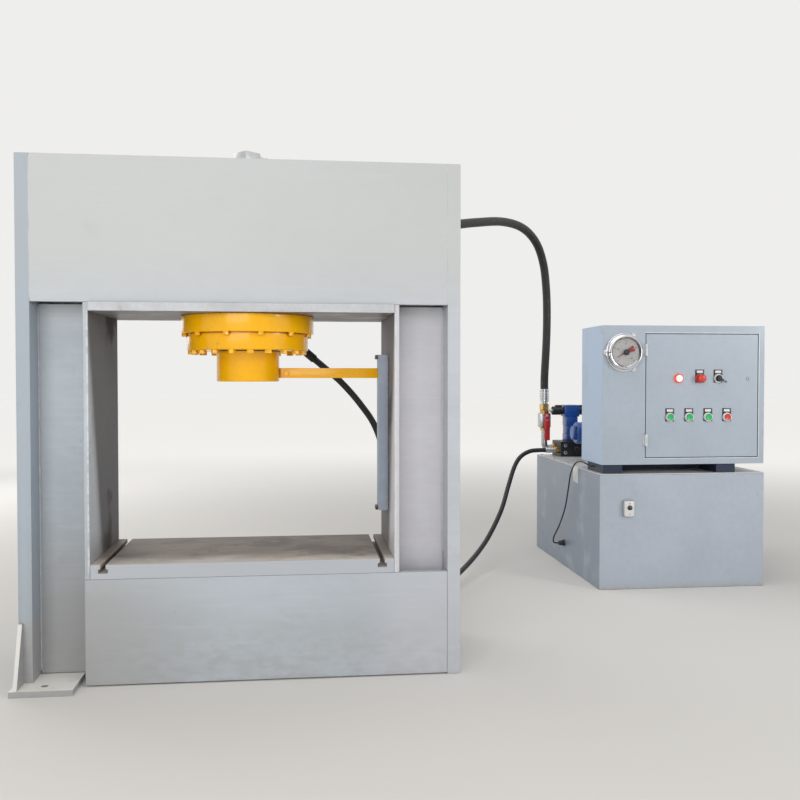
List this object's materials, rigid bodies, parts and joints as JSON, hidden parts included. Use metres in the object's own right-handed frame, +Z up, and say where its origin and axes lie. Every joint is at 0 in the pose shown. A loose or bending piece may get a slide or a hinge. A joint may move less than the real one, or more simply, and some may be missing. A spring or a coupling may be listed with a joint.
{
  "type": "hydraulic press",
  "caption": "Welded frame press with a hanging hydraulic cylinder, slotted table and guide arm, joined by hoses to a power unit with tank, motor, pump, valves and a control cabinet.",
  "frame": {"origin": "on the floor, at the middle of the standing pieces' outline, hoses and cable left out", "axes": "+Z up, -Y towards the operator, who stands in front of the table, +X to the operator's right, from the press towards the power unit"},
  "size_m": [3.282, 2.421, 1.9584],
  "materials": {
    "frame": "semi-gloss light grey enamel over welded plate",
    "table_steel": "bare machined steel, stained",
    "cylinder_enamel": "glossy golden yellow enamel",
    "piston_steel": "ground steel",
    "wiper_rubber": "black seal rubber",
    "tank_enamel": "semi-gloss light blue-grey enamel on sheet",
    "motor_blue": "blue enamel",
    "dark_iron": "blackened iron",
    "valve_steel": "machined steel",
    "red_enamel": "red enamel",
    "white_plastic": "white moulded plastic",
    "black_plastic": "black moulded plastic",
    "chrome": "polished chrome",
    "green_plastic": "green moulded plastic",
    "red_plastic": "red moulded plastic",
    "lamp_lens": "lit red lens",
    "zinc": "zinc plated steel",
    "panel_sheet": "plain sheet",
    "hose_rubber": "black wrapped rubber"
  },
  "bodies": {
    "root": {"left_side_plate": "frame", "right_side_plate": "frame", "left_column_box": "frame", "right_column_box": "frame", "crown_box": "frame", "crown_bottom_plate": "frame", "bed_box": "frame", "limit_rail": "frame", "table_plate": "table_steel", "cylinder_barrel": "cylinder_enamel", "mounting_flange": "cylinder_enamel", "gland": "cylinder_enamel", "wiper_ring": "wiper_rubber", "oil_tank": "tank_enamel", "tank_lid": "tank_enamel", "cabinet_shell": "tank_enamel", "electric_motor": "motor_blue", "motor_fan_cover": "motor_blue", "bellhousing": "motor_blue", "pump": "motor_blue", "solenoid_valve": "motor_blue", "cabinet_base": "motor_blue", "valve_block": "dark_iron", "ball_valve": "valve_steel", "temperature_switch": "white_plastic", "cable_sensor": "black_plastic", "gauge_case": "chrome", "upper_hinge": "zinc", "lower_hinge": "zinc", "tall_hose_fitting": "zinc", "low_hose_fitting": "zinc", "upper_port_fitting": "zinc", "lower_port_fitting": "zinc", "mounting_panel": "panel_sheet", "tall_hose": "hose_rubber", "low_hose": "hose_rubber", "sensor_cable": "hose_rubber"},
    "ram_body": {"ram": "cylinder_enamel", "piston": "piston_steel", "guide_arm": "cylinder_enamel"},
    "door": {"cabinet_door": "tank_enamel", "button_station_1": "black_plastic", "button_station_2": "black_plastic", "button_station_3": "black_plastic", "button_station_4": "black_plastic", "emergency_station": "black_plastic", "selector_station": "black_plastic", "lamp": "lamp_lens"},
    "lock": {"door_lock": "zinc"},
    "button_1": {"push_button_1": "green_plastic"},
    "button_2": {"push_button_2": "green_plastic"},
    "button_3": {"push_button_3": "green_plastic"},
    "button_4": {"push_button_4": "red_plastic"},
    "emergency": {"emergency_button": "red_plastic"},
    "selector": {"selector_lever": "black_plastic"},
    "pointer": {"gauge_pointer": "red_plastic"},
    "relief": {"relief_knob": "black_plastic"},
    "valve_handle": {"ball_valve_handle": "red_enamel"},
    "temperature_dial": {"temperature_knob": "black_plastic"},
    "breather": {"filler_cap": "chrome"}
  },
  "joints": [
    {"name": "ram_slide", "type": "slide", "parent": "root", "child": "ram_body", "axis": [0, 0, -1], "range_m": [0, 0.43]},
    {"name": "door_hinge", "type": "hinge", "parent": "root", "child": "door", "pos_m": [1.01875, 0.0262, 0.962], "axis": [0, 0, -1], "range_deg": [0, 110]},
    {"name": "lock_turn", "type": "hinge", "parent": "door", "child": "lock", "pos_m": [1.552, 0.0345, 1.046], "axis": [0, -1, 0], "range_deg": [0, 90]},
    {"name": "button_1_press", "type": "slide", "parent": "door", "child": "button_1", "axis": [0, 1, 0], "range_m": [0, 0.005], "stiffness_N_per_m": 600, "springref_m": -0.002},
    {"name": "button_2_press", "type": "slide", "parent": "door", "child": "button_2", "axis": [0, 1, 0], "range_m": [0, 0.005], "stiffness_N_per_m": 600, "springref_m": -0.002},
    {"name": "button_3_press", "type": "slide", "parent": "door", "child": "button_3", "axis": [0, 1, 0], "range_m": [0, 0.005], "stiffness_N_per_m": 600, "springref_m": -0.002},
    {"name": "button_4_press", "type": "slide", "parent": "door", "child": "button_4", "axis": [0, 1, 0], "range_m": [0, 0.005], "stiffness_N_per_m": 600, "springref_m": -0.002},
    {"name": "emergency_press", "type": "slide", "parent": "door", "child": "emergency", "axis": [0, 1, 0], "range_m": [0, 0.006], "stiffness_N_per_m": 900, "springref_m": -0.002},
    {"name": "selector_turn", "type": "hinge", "parent": "door", "child": "selector", "pos_m": [1.393, 0.0345, 1.048], "axis": [0, -1, 0], "range_deg": [0, 90]},
    {"name": "pointer_turn", "type": "hinge", "parent": "root", "child": "pointer", "pos_m": [0.907, 0.0145, 1.176], "axis": [0, 1, 0], "range_deg": [0, 240], "stiffness_Nm_per_rad": 0.02},
    {"name": "relief_turn", "type": "hinge", "parent": "root", "child": "relief", "pos_m": [0.966, 1.0195, 0.62015], "axis": [0, 1, 0], "range_deg": [0, 720]},
    {"name": "ball_valve_turn", "type": "hinge", "parent": "root", "child": "valve_handle", "pos_m": [0.816, 1.1045, 0.818], "axis": [0, 1, 0], "range_deg": [0, 90]},
    {"name": "temperature_turn", "type": "hinge", "parent": "root", "child": "temperature_dial", "pos_m": [0.931, 0.0045, 0.41], "axis": [0, 1, 0], "range_deg": [0, 270]},
    {"name": "breather_turn", "type": "hinge", "parent": "root", "child": "breather", "pos_m": [1.486, 1.0845, 0.6], "axis": [0, 0, 1], "range_deg": [0, 90]}
  ]
}
